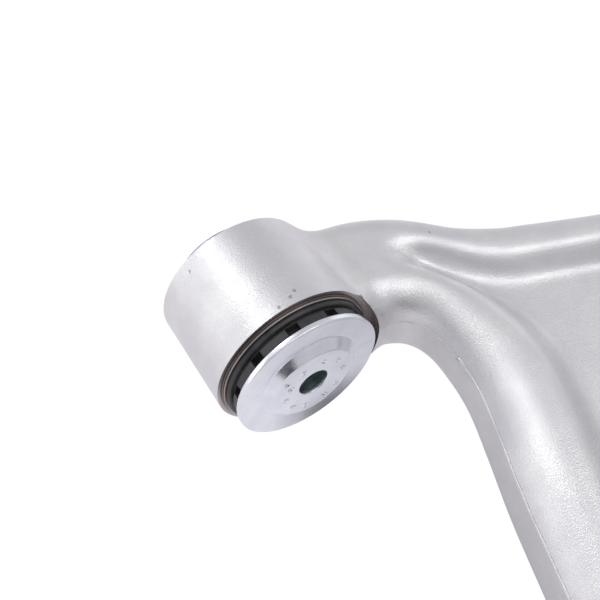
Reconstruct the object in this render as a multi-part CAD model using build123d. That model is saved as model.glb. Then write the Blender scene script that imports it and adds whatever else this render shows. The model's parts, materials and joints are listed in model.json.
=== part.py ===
"""Front lower control arm of a car: a forged aluminium arm with two rubber bushes and a ball joint.

Frame, in millimetres: the origin is the centre of the front bush, +Y runs along the front bush's
bolt towards the front of the car, +X runs outboard towards the wheel, and +Z is up.
The forging's two halves meet on the plane z = 0, which holds the front bush's axis.
Each piece is built by its own function and written to its own STEP file.
"""
from build123d import *

import os
from math import cos, radians, sin

# Bolts that hold the arm to the car
BOLT_HOLE_R = 7.1                       # clearance hole for an M14 bolt

# Forging
RIDGE_Z = 15.5                          # height of the upper ridges that run round the arm
RIDGE_LOW_Z = -20.0                     # the lower ridges are deeper than the upper ones are high
WEB_Z = 4.5                             # half thickness of the thin web between the ridges
RIDGE_ROUND = 6.0                       # rounding of the ridges' outer edges
PAN_ROUND = 5.0                         # rounding at the foot of the pans
PAN_SLOPE = 35.0                        # how far the pans' sides lean outwards, in degrees

CUT_SPARE = 1.0                         # how far a cutter runs past the faces it cuts through

# Front boss and its bush, both along Y
BOSS_Y = 25.0                           # half length of the boss
BOSS_NEAR_R = 37.9
BOSS_FAR_R = 35.9
FRONT_BORE_R = 33.0
SLEEVE_WALL = 2.0
COLLAR_R = 36.1                         # collar that stops the outer sleeve against the boss
COLLAR_T = 1.8
CORE_R = 14.0                           # outside of the inner sleeve
RUBBER_END = 24.0                       # half length of the rubber
RUBBER_HOLLOW = 8.0                     # depth of the hollow in each end of the rubber
SPOT_FACE_R = 39.0                      # milled clearance in the neck round the flange
SPOT_FACE_DEPTH = 20.0
FLANGE_R = 34.5
FLANGE_T = 2.9
FLANGE_GAP = 9.5                        # from the boss face to the back of the flange
HUB_BASE_R = 23.5
HUB_TOP_R = 18.0
HUB_RISE = 4.0
HUB_BACK_STEP = 1.5                     # how much smaller the hub is behind than in front
STOP_R = 34.9                           # rubber stop ring behind the flange
STOP_PAD_R = 33.3
STOP_INNER_R = 25.0
STOP_BASE_T = 2.5
STOP_NOTCHES = 11
STOP_NOTCH_DEG = 10.0
STOP_NOTCH_DEPTH = 4.0                  # into the pads from outside
STOP_NOTCH_FOOT = 1.0                   # solid rubber left between a notch and the base
RUN_GAP = 0.3                           # gap between faces that move past each other
FAR_STOP_R = 20.0
FAR_STOP_GAP = 0.5
WASHER_R = 24.5
WASHER_T = 2.8
WASHER_GAP = 6.5                        # from the boss face to the back of the far washer

# Rear boss and its bush, both along Z
REAR_Y = -260.0
REAR_BOSS_R = 38.0
REAR_BOSS_Z = 28.0
REAR_BORE_R = 31.5
REAR_CAN_Z = 31.0
REAR_CORE_R = 11.5
REAR_CORE_Z = 38.0
REAR_RUBBER_Z = 26.0
REAR_VOID_IN_R = 17.0
REAR_VOID_OUT_R = 25.0
REAR_VOID_DEG = 56.0

# Ball joint, along Z.  Heights in this block are counted from the middle of the ball.
BALL_X = 338.0
BALL_Y = -118.0
BALL_Z = -12.0
BALL_R = 14.5
RING_R = 33.0                           # ring of the forging round the ball joint
RING_LOW = -14.0
RING_HIGH = 14.0
RING_CLEAR_R = 31.0                     # milled seat that makes room for the dust boot
HOUSING_R = 22.0
HOUSING_FLANGE_R = 26.5
HOUSING_LOW = -24.0
HOUSING_HIGH = 22.0
HOUSING_FLANGE_T = 3.0
HOUSING_RELIEF = 1.0                    # how much smaller the housing is at both ends than in the ring
SEAT_R = 17.5
SEAT_GAP = 0.05
SEAT_LOW = -17.5
SEAT_HIGH = 8.0
LIP_R = 13.2                            # opening that keeps the ball in
LIP_T = 3.0
FLARE_R = 18.0                          # the opening's width at the top, where the stud leans
CAP_R = 18.6
CAP_LOW = -20.5
CAP_LIP_R = 16.0
SNAP_LOW = 14.0
SNAP_T = 1.8
SNAP_IN_R = 20.8
SNAP_OUT_R = 24.5
SNAP_GAP = 7.0                          # width of the ring's opening
SNAP_STEP = 0.5
GROOVE_LOW = 17.5                       # groove for the boot's lower bead
GROOVE_HIGH = 20.5
GROOVE_R = 19.8
NECK_R = 7.5
BOOT_SEAT_R = 9.0
BOOT_SEAT_LOW = 30.0
BOOT_SEAT_HIGH = 37.5
BOOT_SEAT_RAMP = 4.0
TAPER_LOW_R = 8.8
TAPER_LOW = 38.0
TAPER_HIGH_R = 7.6
TAPER_HIGH = 58.0
THREAD_STEP = 0.7
THREAD_R = 6.9
THREAD_CHAMFER = 1.5
BALL_FLAT = 0.8                         # cut off the ball's lowest point
STUD_HIGH = 85.5
PIN_HOLE_R = 1.7
PIN_HOLE_AT = 75.0
NUT_LOW = 61.0
NUT_SHOULDER = 72.0
NUT_HIGH = 77.5
NUT_FLATS = 22.0
NUT_CROWN_R = 10.0
NUT_SLOT = 4.0
PIN_R = 1.3
PIN_EYE_R = 2.6
PIN_EYE_OUT = 6.2                       # from the nut's crown to the middle of the pin's eye
PIN_BEND_OUT = 1.6                      # from the nut's crown to the middle of the bent legs
PIN_LEG_R = 1.17
PIN_LEG_UP = 6.4
PIN_LEG_DOWN = 1.4

# Dust boot and its two spring wires, as (radius, height) from the middle of the ball
BOOT_OUTSIDE = [
    (19.8, 17.6), (24.2, 17.6), (24.2, 20.5), (27, 24), (27, 28), (23, 32.5),
    (14.5, 33.4), (12.6, 34), (12.6, 37.4),
]
BOOT_INSIDE = [
    (9, 37.4), (9, 31.4), (13, 31), (21.8, 30.4), (24.6, 27.4), (24.6, 25),
    (22.3, 22.3), (21.3, 20.5), (19.8, 20.4),
]
LOWER_WIRE_R = 25.1
LOWER_WIRE_Z = 19.0
LOWER_WIRE_THICK = 0.9
UPPER_WIRE_R = 13.4
UPPER_WIRE_Z = 35.7
UPPER_WIRE_THICK = 0.8

# The arm's outline on the plane z = 0, seen from above
INNER_EDGE = [                          # open bay between the two bushes
    (28, -31), (39, -31.6), (45.4, -33.4), (52.7, -38.2), (57.2, -46.9), (58.4, -59.3),
    (56.6, -78.7), (49.8, -101), (39.2, -130), (27.9, -166), (17, -202), (6, -238),
]
REAR_EDGE = [                           # from the rear boss out to the ball joint
    (20, -276), (72, -252), (118, -229), (175, -202), (235, -178), (290, -158), (332, -142),
]
FRONT_EDGE = [                          # from the ball joint back to the front boss
    (336, -98), (260, -75), (201, -55), (158, -38.5), (125, -24.5), (99.3, -9.7),
    (88.4, 1.3), (79.2, 9.4), (67.8, 16.5), (55, 21.7), (40, 24.6), (24, 25),
]
# The flat web at the foot of the pan that is pressed into each face: its corners, and their rounding
PAN_CORNERS = [
    (67, -14), (99, -52), (196, -82), (290, -108), (286, -128), (172, -168), (116, -194),
    (74, -217), (51, -209), (70, -150), (87, -104), (90, -60),
]
PAN_RADII = [4, 45, 60, 9, 9, 150, 150, 9, 9, 60, 60, 40]


def along_y(shape):
    """Turn a shape that was made along +Z so that it lies along +Y."""
    return Rot(-90, 0, 0) * shape


def ring(outer_r, inner_r, low, high):
    """A plain ring along Z, from one height to another."""
    body = Cylinder(outer_r, high - low, align=(Align.CENTER, Align.CENTER, Align.MIN))
    hole = Cylinder(inner_r, high - low, align=(Align.CENTER, Align.CENTER, Align.MIN))
    return Pos(0, 0, low) * (body - hole)


def disc(radius, low, high):
    """A solid round bar along Z, from one height to another."""
    return Pos(0, 0, low) * Cylinder(radius, high - low, align=(Align.CENTER, Align.CENTER, Align.MIN))


def turned(points):
    """A turned piece: a closed outline of (radius, height) points carried once round Z."""
    outline = Plane.XZ * make_face(Polyline(*points, close=True))
    return revolve(outline, Axis.Z)


def at_ball(shape):
    """Move a shape from the middle of the ball to where the ball is on the arm."""
    return Pos(BALL_X, BALL_Y, BALL_Z) * shape


# ---------------------------------------------------------------- forging


def pan(web, depth):
    """The hollow over the flat web, with leaning sides and a rounded foot."""
    hollow = extrude(web, amount=depth, taper=-PAN_SLOPE)
    return Pos(0, 0, WEB_Z) * fillet(hollow.edges().group_by(Axis.Z)[0], PAN_ROUND)


def arm_plate():
    """The ridged plate: the outline at full height, less a pan in each face."""
    outline = Curve() + [
        Spline(*INNER_EDGE),
        Line(INNER_EDGE[-1], REAR_EDGE[0]),
        Spline(*REAR_EDGE),
        Line(REAR_EDGE[-1], FRONT_EDGE[0]),
        Spline(*FRONT_EDGE),
        Line(FRONT_EDGE[-1], INNER_EDGE[0]),
    ]
    plate = Pos(0, 0, RIDGE_LOW_Z) * extrude(make_face(outline), amount=RIDGE_Z - RIDGE_LOW_Z)
    rims = plate.edges().filter_by(Plane.XY).filter_by(GeomType.BSPLINE)
    plate = fillet(rims, RIDGE_ROUND)
    web = make_face(FilletPolyline(*PAN_CORNERS, radius=PAN_RADII, close=True))
    return plate - pan(web, RIDGE_Z - WEB_Z) - mirror(pan(web, -RIDGE_LOW_Z - WEB_Z), Plane.XY)


def front_boss():
    """The eye for the front bush, a little wider at the end that faces the bay."""
    return along_y(Cone(BOSS_NEAR_R, BOSS_FAR_R, 2 * BOSS_Y))


def arm_forging():
    """The whole forging: plate, two bosses and ball-joint ring, with the milled faces and bores."""
    rear = Pos(0, REAR_Y, 0) * disc(REAR_BOSS_R, -REAR_BOSS_Z, REAR_BOSS_Z)
    eye = at_ball(disc(RING_R, RING_LOW, RING_HIGH))
    body = arm_plate() + front_boss() + rear + eye
    near_face = along_y(disc(SPOT_FACE_R, -BOSS_Y - SPOT_FACE_DEPTH, -BOSS_Y))
    front_bore = along_y(disc(FRONT_BORE_R, -BOSS_Y - CUT_SPARE, BOSS_Y + CUT_SPARE))
    rear_bore = Pos(0, REAR_Y, 0) * disc(REAR_BORE_R, -REAR_BOSS_Z - CUT_SPARE, REAR_BOSS_Z + CUT_SPARE)
    ball_bore = at_ball(disc(HOUSING_R, RING_LOW - CUT_SPARE, RING_HIGH + CUT_SPARE))
    boot_room = at_ball(disc(RING_CLEAR_R, RING_HIGH, RING_HIGH + RIDGE_Z))
    flange_room = at_ball(disc(RING_CLEAR_R, RING_LOW - RIDGE_Z, RING_LOW))
    return body - near_face - front_bore - rear_bore - ball_bore - boot_room - flange_room


# ---------------------------------------------------------------- front bush


def front_bush_outer_sleeve():
    """Pressed steel sleeve with a collar that stops it against the boss."""
    inner = FRONT_BORE_R - SLEEVE_WALL
    shape = turned([
        (inner, -BOSS_Y - COLLAR_T), (COLLAR_R, -BOSS_Y - COLLAR_T), (COLLAR_R, -BOSS_Y),
        (FRONT_BORE_R, -BOSS_Y), (FRONT_BORE_R, BOSS_Y), (inner, BOSS_Y),
    ])
    return along_y(shape)


def front_bush_rubber():
    """Rubber between the two sleeves, with a hollow turned into each end."""
    outer = FRONT_BORE_R - SLEEVE_WALL
    middle = (outer + CORE_R) / 2
    foot = RUBBER_END - RUBBER_HOLLOW
    shape = turned([
        (CORE_R, -RUBBER_END), (middle, -foot), (outer, -RUBBER_END),
        (outer, RUBBER_END), (middle, foot), (CORE_R, RUBBER_END),
    ])
    return along_y(shape)


def front_bush_inner_sleeve():
    """Thick steel tube that the bolt clamps; its near end sits inside the flange's hub."""
    near = -BOSS_Y - FLANGE_GAP - HUB_RISE
    far = BOSS_Y + WASHER_GAP + WASHER_T
    return along_y(ring(CORE_R, BOLT_HOLE_R, near, far))


def front_bush_near_flange():
    """Pressed disc with a raised hub round the bolt hole, hollow behind the hub."""
    back = -BOSS_Y - FLANGE_GAP
    face = back - FLANGE_T
    shape = turned([
        (BOLT_HOLE_R, back - HUB_RISE), (HUB_TOP_R - HUB_BACK_STEP, back - HUB_RISE),
        (HUB_BASE_R - HUB_BACK_STEP, back),
        (FLANGE_R, back), (FLANGE_R, face), (HUB_BASE_R, face),
        (HUB_TOP_R, face - HUB_RISE), (BOLT_HOLE_R, face - HUB_RISE),
    ])
    return along_y(shape)


def front_bush_near_stop_ring():
    """Rubber stop on the collar, cut into pads by a ring of notches that face the flange."""
    base = -BOSS_Y - COLLAR_T
    step = base - STOP_BASE_T
    pads = -BOSS_Y - FLANGE_GAP + RUN_GAP
    shape = turned([
        (STOP_INNER_R, base), (STOP_R, base), (STOP_R, step), (STOP_PAD_R, step),
        (STOP_PAD_R, pads), (STOP_INNER_R, pads),
    ])
    width = 2 * STOP_PAD_R * sin(radians(STOP_NOTCH_DEG / 2))
    length = step - STOP_NOTCH_FOOT - pads
    notch = Pos(STOP_PAD_R, 0, pads) * Box(2 * STOP_NOTCH_DEPTH, width, 2 * length)
    for index in range(STOP_NOTCHES):
        shape -= Rot(0, 0, index * 360 / STOP_NOTCHES) * notch
    return along_y(shape)


def front_bush_far_stop_ring():
    """Small rubber ring on the inner sleeve, against the back of the far washer."""
    return along_y(ring(FAR_STOP_R, CORE_R, BOSS_Y + FAR_STOP_GAP, BOSS_Y + WASHER_GAP))


def front_bush_far_washer():
    """Washer pressed on the far end of the inner sleeve."""
    low = BOSS_Y + WASHER_GAP
    return along_y(ring(WASHER_R, CORE_R, low, low + WASHER_T))


# ---------------------------------------------------------------- rear bush


def rear_bush_outer_can():
    """Pressed steel can, proud of the boss at both ends."""
    wall = REAR_BORE_R - SLEEVE_WALL
    return Pos(0, REAR_Y, 0) * ring(REAR_BORE_R, wall, -REAR_CAN_Z, REAR_CAN_Z)


def rear_bush_rubber():
    """Rubber with a curved void on the inboard and the outboard side of the core."""
    block = ring(REAR_BORE_R - SLEEVE_WALL, REAR_CORE_R, -REAR_RUBBER_Z, REAR_RUBBER_Z)
    slot = ring(REAR_VOID_OUT_R, REAR_VOID_IN_R, -REAR_RUBBER_Z, REAR_RUBBER_Z)
    reach = 2 * REAR_VOID_OUT_R
    half = radians(REAR_VOID_DEG / 2)
    far = (reach * cos(half), reach * sin(half))
    wedge = extrude(make_face(Polyline((0, 0), (far[0], -far[1]), far, close=True)), REAR_RUBBER_Z, both=True)
    void = slot & wedge
    return Pos(0, REAR_Y, 0) * (block - void - Rot(0, 0, 180) * void)


def rear_bush_core():
    """Steel tube that the rear bolt clamps, proud of the can at both ends."""
    return Pos(0, REAR_Y, 0) * ring(REAR_CORE_R, BOLT_HOLE_R, -REAR_CORE_Z, REAR_CORE_Z)


# ---------------------------------------------------------------- ball joint


def ball_joint_housing():
    """Steel housing pressed into the ring from below, up to its flange."""
    end_r = HOUSING_R - HOUSING_RELIEF
    snap_r = HOUSING_R - SNAP_STEP
    flange_low = RING_LOW - HOUSING_FLANGE_T
    snap_high = SNAP_LOW + SNAP_T
    shape = turned([
        (CAP_LIP_R, HOUSING_LOW), (end_r, HOUSING_LOW), (end_r, flange_low),
        (HOUSING_FLANGE_R, flange_low), (HOUSING_FLANGE_R, RING_LOW), (HOUSING_R, RING_LOW),
        (HOUSING_R, SNAP_LOW), (SNAP_IN_R, SNAP_LOW), (SNAP_IN_R, snap_high), (snap_r, snap_high),
        (snap_r, GROOVE_LOW), (GROOVE_R, GROOVE_LOW), (GROOVE_R, GROOVE_HIGH), (end_r, GROOVE_HIGH),
        (end_r, HOUSING_HIGH), (FLARE_R, HOUSING_HIGH), (LIP_R, SEAT_HIGH + LIP_T), (LIP_R, SEAT_HIGH),
        (SEAT_R, SEAT_HIGH), (SEAT_R, SEAT_LOW), (CAP_R, SEAT_LOW), (CAP_R, CAP_LOW), (CAP_LIP_R, CAP_LOW),
    ])
    return at_ball(shape)


def ball_joint_seat():
    """Plastic seat that the ball turns in."""
    block = disc(SEAT_R, SEAT_LOW, SEAT_HIGH)
    return at_ball(block - Sphere(BALL_R + SEAT_GAP))


def ball_joint_end_cap():
    """Steel disc that closes the housing under the seat, held by the rolled lip."""
    return at_ball(disc(CAP_R, CAP_LOW, SEAT_LOW))


def ball_joint_snap_ring():
    """Open spring ring in the housing's groove, on top of the forging's ring."""
    shape = ring(SNAP_OUT_R, SNAP_IN_R, SNAP_LOW, SNAP_LOW + SNAP_T)
    gap = Pos(-SNAP_OUT_R, 0, SNAP_LOW) * Box(SNAP_OUT_R, SNAP_GAP, 4 * SNAP_T)
    return at_ball(shape - gap)


def ball_stud():
    """Ball, neck, boot seat, taper and threaded end, with a cross hole for the split pin."""
    shaft = turned([
        (0, 0), (NECK_R, 0), (NECK_R, BOOT_SEAT_LOW - BOOT_SEAT_RAMP), (BOOT_SEAT_R, BOOT_SEAT_LOW),
        (BOOT_SEAT_R, BOOT_SEAT_HIGH), (TAPER_LOW_R, TAPER_LOW), (TAPER_HIGH_R, TAPER_HIGH),
        (THREAD_R, TAPER_HIGH + THREAD_STEP), (THREAD_R, STUD_HIGH - THREAD_CHAMFER),
        (THREAD_R - THREAD_CHAMFER, STUD_HIGH), (0, STUD_HIGH),
    ])
    ball = Sphere(BALL_R) - disc(BALL_R, -2 * BALL_R, -BALL_R + BALL_FLAT)
    hole = Pos(0, 0, PIN_HOLE_AT) * Rot(0, 90, 0) * Cylinder(PIN_HOLE_R, 4 * THREAD_R)
    return at_ball(shaft + ball - hole)


def castle_nut():
    """Slotted hexagon nut on the stud's thread."""
    hexagon = extrude(RegularPolygon(NUT_FLATS / 2, 6, major_radius=False), NUT_SHOULDER - NUT_LOW)
    body = Pos(0, 0, NUT_LOW) * hexagon + disc(NUT_CROWN_R, NUT_SHOULDER, NUT_HIGH)
    slot = Pos(0, 0, NUT_HIGH) * Box(2 * NUT_FLATS, NUT_SLOT, 2 * (NUT_HIGH - NUT_SHOULDER))
    for index in range(3):
        body -= Rot(0, 0, index * 60) * slot
    body -= disc(THREAD_R + SEAT_GAP, NUT_LOW - CUT_SPARE, NUT_HIGH + CUT_SPARE)
    return at_ball(body)


def cotter_pin():
    """Split pin through the slots and the stud: an eye at one end, two bent legs at the other."""
    eye_x = -NUT_CROWN_R - PIN_EYE_OUT
    bend_x = NUT_CROWN_R + PIN_BEND_OUT
    start = eye_x + PIN_EYE_R
    eye = Pos(eye_x, 0, PIN_HOLE_AT) * Rot(90, 0, 0) * Torus(PIN_EYE_R, PIN_R)
    shank = Pos(start, 0, PIN_HOLE_AT) * Rot(0, 90, 0) * disc(PIN_R, 0, bend_x + PIN_LEG_R - start)
    up = Pos(bend_x, 0, PIN_HOLE_AT) * disc(PIN_LEG_R, 0, PIN_LEG_UP)
    down = Pos(bend_x, 0, PIN_HOLE_AT) * disc(PIN_LEG_R, -PIN_LEG_DOWN, 0)
    return at_ball(eye + shank + up + down)


def dust_boot():
    """Rubber boot from the groove in the housing up to the stud's boot seat."""
    return at_ball(turned(BOOT_OUTSIDE + BOOT_INSIDE))


def boot_lower_clamp():
    """Round spring wire that holds the boot's bead in the housing's groove."""
    return at_ball(Pos(0, 0, LOWER_WIRE_Z) * Torus(LOWER_WIRE_R, LOWER_WIRE_THICK))


def boot_upper_clamp():
    """Round spring wire that holds the boot's lip on the stud."""
    return at_ball(Pos(0, 0, UPPER_WIRE_Z) * Torus(UPPER_WIRE_R, UPPER_WIRE_THICK))


PIECES = [
    arm_forging,
    front_bush_outer_sleeve,
    front_bush_rubber,
    front_bush_inner_sleeve,
    front_bush_near_flange,
    front_bush_near_stop_ring,
    front_bush_far_stop_ring,
    front_bush_far_washer,
    rear_bush_outer_can,
    rear_bush_rubber,
    rear_bush_core,
    ball_joint_housing,
    ball_joint_seat,
    ball_joint_end_cap,
    ball_joint_snap_ring,
    ball_stud,
    castle_nut,
    cotter_pin,
    dust_boot,
    boot_lower_clamp,
    boot_upper_clamp,
]

os.makedirs("parts", exist_ok=True)
for make in PIECES:
    piece = make()
    export_step(piece, f"parts/{make.__name__}.step")
    print(f"{make.__name__}: {len(piece.solids())} solid, {piece.volume / 1000:.1f} cm3")
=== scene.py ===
# %% [markdown]
# # A forged front lower control arm
# The object is a car's front lower control arm: a triangular aluminium forging with a rubber bush at
# each inner corner and a ball joint at the outer one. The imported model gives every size, place and
# joint. This script gives the looks: finer surfaces for the pieces that show, and finishes for all.

# %% Load the frame
import json

import bmesh
import bpy
import numpy as np
from mathutils import Matrix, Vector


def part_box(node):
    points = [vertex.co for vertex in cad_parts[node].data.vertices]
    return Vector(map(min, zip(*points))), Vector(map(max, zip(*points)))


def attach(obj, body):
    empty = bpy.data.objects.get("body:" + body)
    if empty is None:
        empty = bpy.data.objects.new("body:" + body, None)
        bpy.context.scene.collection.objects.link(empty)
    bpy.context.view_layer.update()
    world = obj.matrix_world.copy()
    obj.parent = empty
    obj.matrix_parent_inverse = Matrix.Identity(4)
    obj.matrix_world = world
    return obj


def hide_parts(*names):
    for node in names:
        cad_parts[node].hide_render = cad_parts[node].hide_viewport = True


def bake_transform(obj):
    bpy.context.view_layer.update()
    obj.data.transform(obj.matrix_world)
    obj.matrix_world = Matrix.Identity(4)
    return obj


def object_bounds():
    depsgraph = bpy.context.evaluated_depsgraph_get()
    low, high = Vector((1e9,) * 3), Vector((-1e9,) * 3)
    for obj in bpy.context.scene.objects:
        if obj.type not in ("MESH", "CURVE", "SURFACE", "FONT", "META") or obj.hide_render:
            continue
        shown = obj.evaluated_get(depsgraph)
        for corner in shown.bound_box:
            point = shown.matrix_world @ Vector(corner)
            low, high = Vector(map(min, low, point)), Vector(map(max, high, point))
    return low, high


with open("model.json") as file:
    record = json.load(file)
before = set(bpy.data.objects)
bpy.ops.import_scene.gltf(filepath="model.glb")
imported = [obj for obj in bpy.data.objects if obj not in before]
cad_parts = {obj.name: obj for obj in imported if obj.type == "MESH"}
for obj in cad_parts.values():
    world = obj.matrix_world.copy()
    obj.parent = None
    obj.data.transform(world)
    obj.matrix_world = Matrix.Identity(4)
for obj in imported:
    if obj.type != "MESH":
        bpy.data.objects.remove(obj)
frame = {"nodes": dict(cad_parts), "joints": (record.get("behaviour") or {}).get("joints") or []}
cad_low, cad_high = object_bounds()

MM = 0.001
nodes = frame["nodes"]
joints = {joint["name"]: joint for joint in frame["joints"]}

# %% [markdown]
# ## Where things are
# The front bush is at the origin and lies along Y. The rear bush and the ball joint are upright, and
# their places are the anchors of their joints. The ends and radii of turned pieces are read from the
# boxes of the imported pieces, so a change of the design moves the looks with it.

# %% Places read from the frame
REAR = np.array(joints["rear_bush_tilt"]["pos_m"])
BALL = np.array(joints["ball_joint_tilt"]["pos_m"])


def radius_of(node, across="z"):
    """Half of a turned piece's width, taken across its axis."""
    low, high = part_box(node)
    index = "xyz".index(across)
    return (high[index] - low[index]) / 2


sleeve_low, sleeve_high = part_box("front_bush_outer_sleeve")
BOSS_FAR_Y = sleeve_high.y
BOSS_NEAR_Y = -BOSS_FAR_Y
COLLAR_FACE_Y = sleeve_low.y
print("front boss from", round(BOSS_NEAR_Y, 4), "to", round(BOSS_FAR_Y, 4), "m along Y")

# %% [markdown]
# ## Camera
# The view is from above the bay between the two bushes, looking outboard and forward, with the
# horizon level. A camera is placed by its three axes: right, up, and back towards the viewer. Making
# the matrix from them says what the picture will show without any tracking constraint.

# %% Camera
CAMERA_AZIMUTH = np.radians(-33.2)
CAMERA_ELEVATION = np.radians(53.56)
CAMERA_PLACE = (-0.1269, -0.2241, 0.3605)


def camera_axes(azimuth, elevation):
    """Right lies in the ground plane, back rises from it by the elevation, up is their cross product."""
    right = np.array([np.cos(azimuth), np.sin(azimuth), 0.0])
    back = np.array([np.sin(azimuth) * np.cos(elevation), -np.cos(azimuth) * np.cos(elevation), np.sin(elevation)])
    return right, np.cross(back, right), back


camera_data = bpy.data.cameras.new("camera")
camera_data.lens = 60.0
camera_data.sensor_width = 36.0
camera_data.clip_start = 0.01
camera = bpy.data.objects.new("camera", camera_data)
bpy.context.scene.collection.objects.link(camera)
turn = np.eye(4)
turn[:3, 0], turn[:3, 1], turn[:3, 2] = camera_axes(CAMERA_AZIMUTH, CAMERA_ELEVATION)
turn[:3, 3] = CAMERA_PLACE
camera.matrix_world = Matrix(turn.tolist())
bpy.context.scene.camera = camera
print("camera", CAMERA_PLACE)

# %% [markdown]
# ## The forging as one smooth function
# A forging has no sharp corners: its bosses, ridges and thin web run into each other through broad
# radii. Boxes and cylinders joined by booleans can't give that. Here the arm is one function of
# place that is negative inside the metal and positive outside, and the surface is where it is zero.
# Two functions are joined with a radius by a smooth minimum, and cut with a radius by a smooth
# maximum. Everything is measured from the plane where the two halves of the die meet, z = 0.

# %% Outline of the forging, seen from above
INNER_EDGE = [
    (28, -30.6), (39, -31.6), (45.4, -33.4), (52.7, -38.2), (57.2, -46.9), (58.4, -59.3),
    (56.6, -78.7), (49.8, -101), (39.2, -130), (27.9, -166), (17, -202), (6, -238),
]
REAR_EDGE = [(20, -276), (72, -252), (118, -229), (175, -202), (235, -178), (290, -158), (332, -142)]
FRONT_EDGE = [
    (336, -98), (260, -75), (201, -55), (158, -38.5), (125, -24.5), (114.2, -19.6), (99.3, -9.7),
    (88.4, 1.3), (79.2, 9.4), (67.8, 16.5), (55, 21.7), (40, 24.6), (22, 25),
]
# The two lines of the pan pressed into each face: its rim on the ridges and its foot on the web
PAN_RIM = [
    (56, -11), (62, -5), (68, -5), (74, -10), (78, -15), (86, -23), (94, -30), (103, -37),
    (113, -42), (124, -47), (146, -56), (195, -72), (245, -88), (284, -102), (298, -118),
    (284, -136), (228, -156), (168, -180), (116, -205), (78, -226), (50, -222), (42, -205),
    (48, -180), (60, -145), (68, -123), (73, -109), (77, -96), (79.5, -80), (80, -70),
    (79, -58), (77, -47), (73, -35), (64, -23),
]
PAN_FOOT = [
    (73, -17), (78, -22), (85, -33), (93, -42), (104, -49.5), (118, -54), (144, -63), (193, -81),
    (240, -98), (276, -110), (284, -118), (274, -128), (226, -144), (166, -167), (116, -190),
    (82, -208), (62, -208), (58, -198), (64, -176), (78, -143), (87, -118), (95, -95), (97, -78),
    (95, -62), (89, -48), (80, -33),
]


def smooth_curve(points, spans, closed):
    """A curve through the points: between two of them it is the cubic whose slope at each end is
    half the chord across that end's two neighbours. Every stretch is cut into equal parameter steps."""
    p = np.asarray(points, float)
    if closed:
        p = np.concatenate([p[-1:], p, p[:2]])
    else:
        p = np.concatenate([2 * p[:1] - p[1:2], p, 2 * p[-1:] - p[-2:-1]])
    t = (np.arange(spans) / spans)[None, :, None]
    a, b, c, d = (p[i:len(p) - 3 + i, None, :] for i in range(4))
    q = 0.5 * (2 * b + (c - a) * t + (2 * a - 5 * b + 4 * c - d) * t ** 2 + (3 * b - a - 3 * c + d) * t ** 3)
    q = q.reshape(-1, p.shape[1])
    return q if closed else np.concatenate([q, p[-2:-1]])


outline = np.concatenate([smooth_curve(edge, 12, False) for edge in (INNER_EDGE, REAR_EDGE, FRONT_EDGE)])
pan_rim = smooth_curve(PAN_RIM, 10, True)
pan_foot = smooth_curve(PAN_FOOT, 10, True)
print("outline points:", len(outline), " rim:", len(pan_rim), " foot:", len(pan_foot))

# %% Distance maps seen from above
MAP_STEP = 1.0
MAP_LOW = np.array([-48.0, -306.0])
MAP_SIZE = (432, 352)


def loop_distance(x, y, loop):
    """Distance from each place to the nearest side of a closed loop, positive inside it. The nearest
    point of a side is the place's projection on it, held between its ends. A place is inside when
    the sides that lie to its right cross its height an odd number of times."""
    start, end = loop, np.roll(loop, -1, axis=0)
    side = end - start
    length2 = (side ** 2).sum(1) + 1e-12
    out = np.empty(x.shape)
    for row in range(x.shape[0]):
        px, py = x[row][:, None] - start[:, 0], y[row][:, None] - start[:, 1]
        along = np.clip((px * side[:, 0] + py * side[:, 1]) / length2, 0, 1)
        near = np.hypot(px - along * side[:, 0], py - along * side[:, 1]).min(1)
        spans = (start[:, 1] > y[row][:, None]) != (end[:, 1] > y[row][:, None])
        rise = np.where(np.abs(side[:, 1]) < 1e-9, 1e-9, side[:, 1])
        crossing = px < py * side[:, 0] / rise
        out[row] = np.where((spans & crossing).sum(1) % 2 == 1, near, -near)
    return out


def blurred(field, cells):
    """The field smoothed by a bell of the given width, first down its columns, then along its rows."""
    reach = int(3 * cells) + 1
    bell = np.exp(-0.5 * (np.arange(-reach, reach + 1) / cells) ** 2)
    bell /= bell.sum()
    for axis in (0, 1):
        padded = np.pad(field, [(reach, reach) if axis == a else (0, 0) for a in (0, 1)], mode="edge")
        count = field.shape[axis]
        field = sum(w * np.take(padded, np.arange(i, i + count), axis) for i, w in enumerate(bell))
    return field


map_x, map_y = np.meshgrid(
    MAP_LOW[0] + MAP_STEP * np.arange(MAP_SIZE[0]), MAP_LOW[1] + MAP_STEP * np.arange(MAP_SIZE[1]), indexing="ij")
edge_map = loop_distance(map_x, map_y, outline)
inner_curve = smooth_curve(INNER_EDGE, 12, False)
inner_loop = np.concatenate([inner_curve, inner_curve[::-1] + [0.01, 0.01]])
lean_map = 1 - np.clip(np.abs(loop_distance(map_x, map_y, inner_loop)) / 26.0, 0, 1)
rim_map = loop_distance(map_x, map_y, pan_rim)
foot_map = loop_distance(map_x, map_y, pan_foot)
print("deepest point of the outline:", round(float(edge_map.max()), 1), "mm from its edge")

# %% Height of the upper face over the dividing plane
RIDGE_HEIGHT = 15.5
RIDGE_DEPTH_FRONT, RIDGE_DEPTH_REAR = 18.5, 25.0
WEB_HEIGHT = 5.5


def ease(t):
    """A smooth step: level at both ends, steepest half way."""
    t = np.clip(t, 0, 1)
    return t * t * (3 - 2 * t)


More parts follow.
